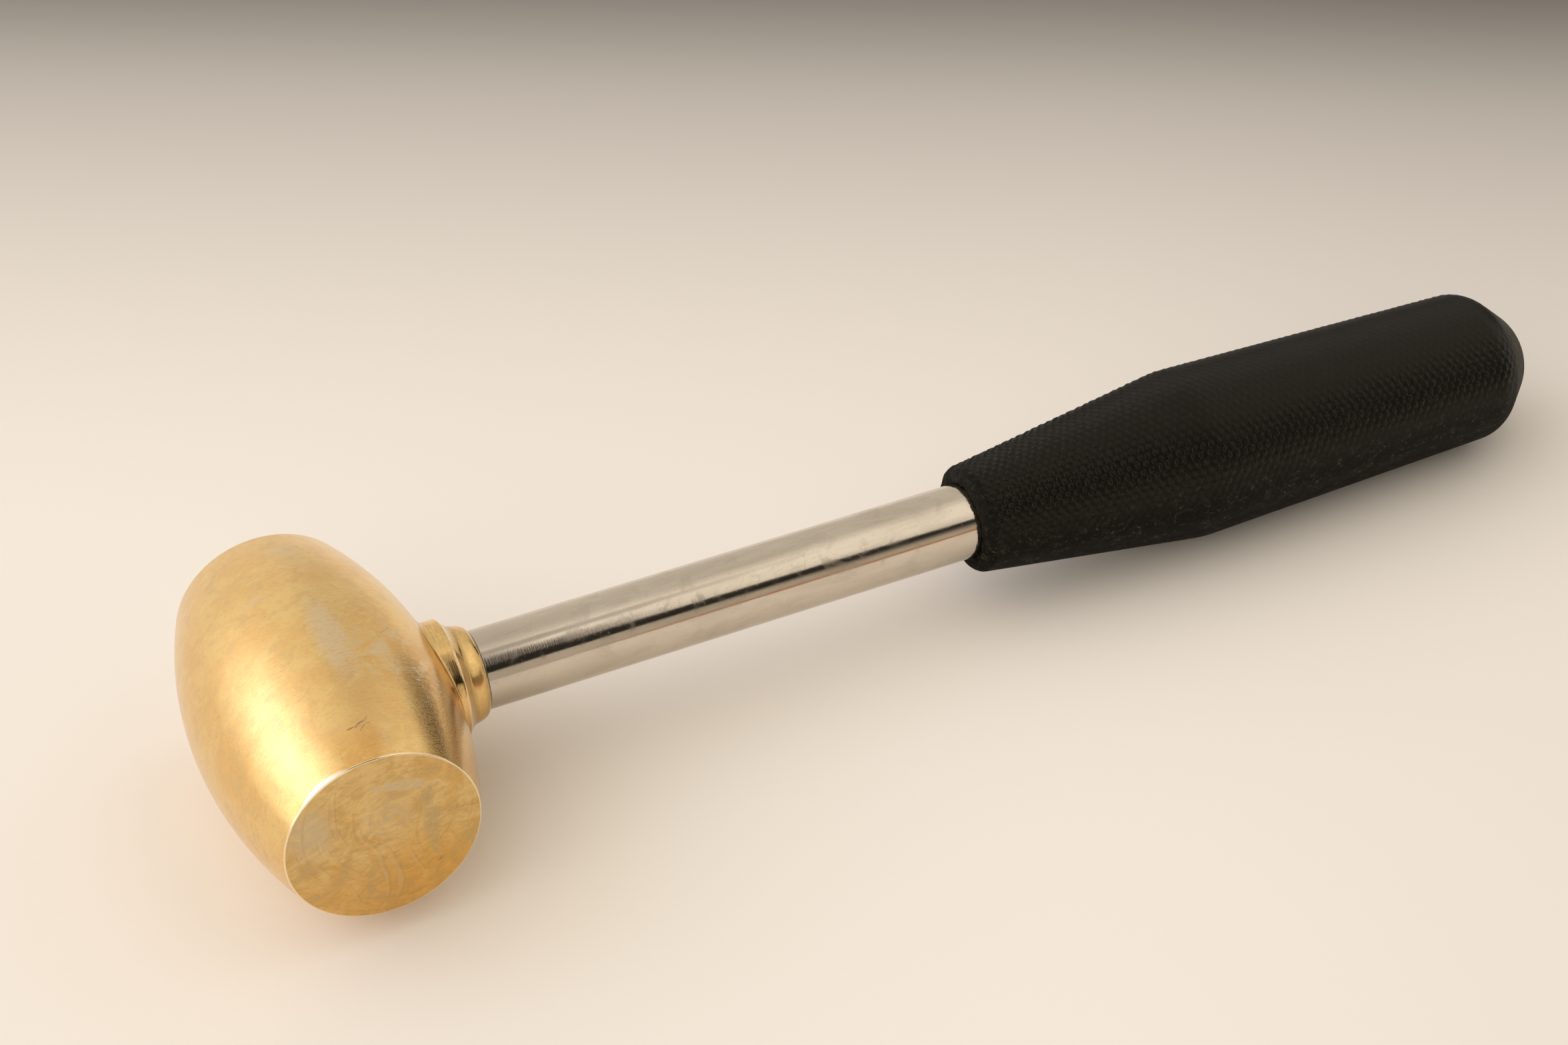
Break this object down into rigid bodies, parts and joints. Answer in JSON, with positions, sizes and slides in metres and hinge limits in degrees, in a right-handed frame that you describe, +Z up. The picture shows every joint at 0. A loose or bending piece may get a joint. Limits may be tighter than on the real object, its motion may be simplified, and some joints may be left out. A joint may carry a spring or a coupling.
{
  "type": "brass hammer",
  "caption": "Barrel-headed brass hammer with a stepped boss on a bright steel tube handle and a closed black rubber grip, for striking without sparks or dents.",
  "frame": {"origin": "middle of the footprint box, on the table that the hammer lies on", "axes": "+X along the handle from the head to the grip, Y along the barrel of the head through both striking faces, +Z up"},
  "size_m": [0.302, 0.0718, 0.0493],
  "materials": {
    "brass": "satin cast brass with fine turning lines, cloudy tarnish and bright worn edges",
    "bright_plate": "bright plated steel tube with light handling marks",
    "rubber": "matte black rubber with a fine moulded grain, dusty from use",
    "plain_steel": "plain turned steel",
    "spring_steel": "dark spring steel",
    "black_plastic": "plain black plastic"
  },
  "bodies": {
    "root": {"brass_head": "brass", "handle_tube": "bright_plate", "rubber_grip": "rubber", "tube_core": "plain_steel", "spring_pin": "spring_steel", "tube_end_plug": "black_plastic"}
  },
  "joints": []
}
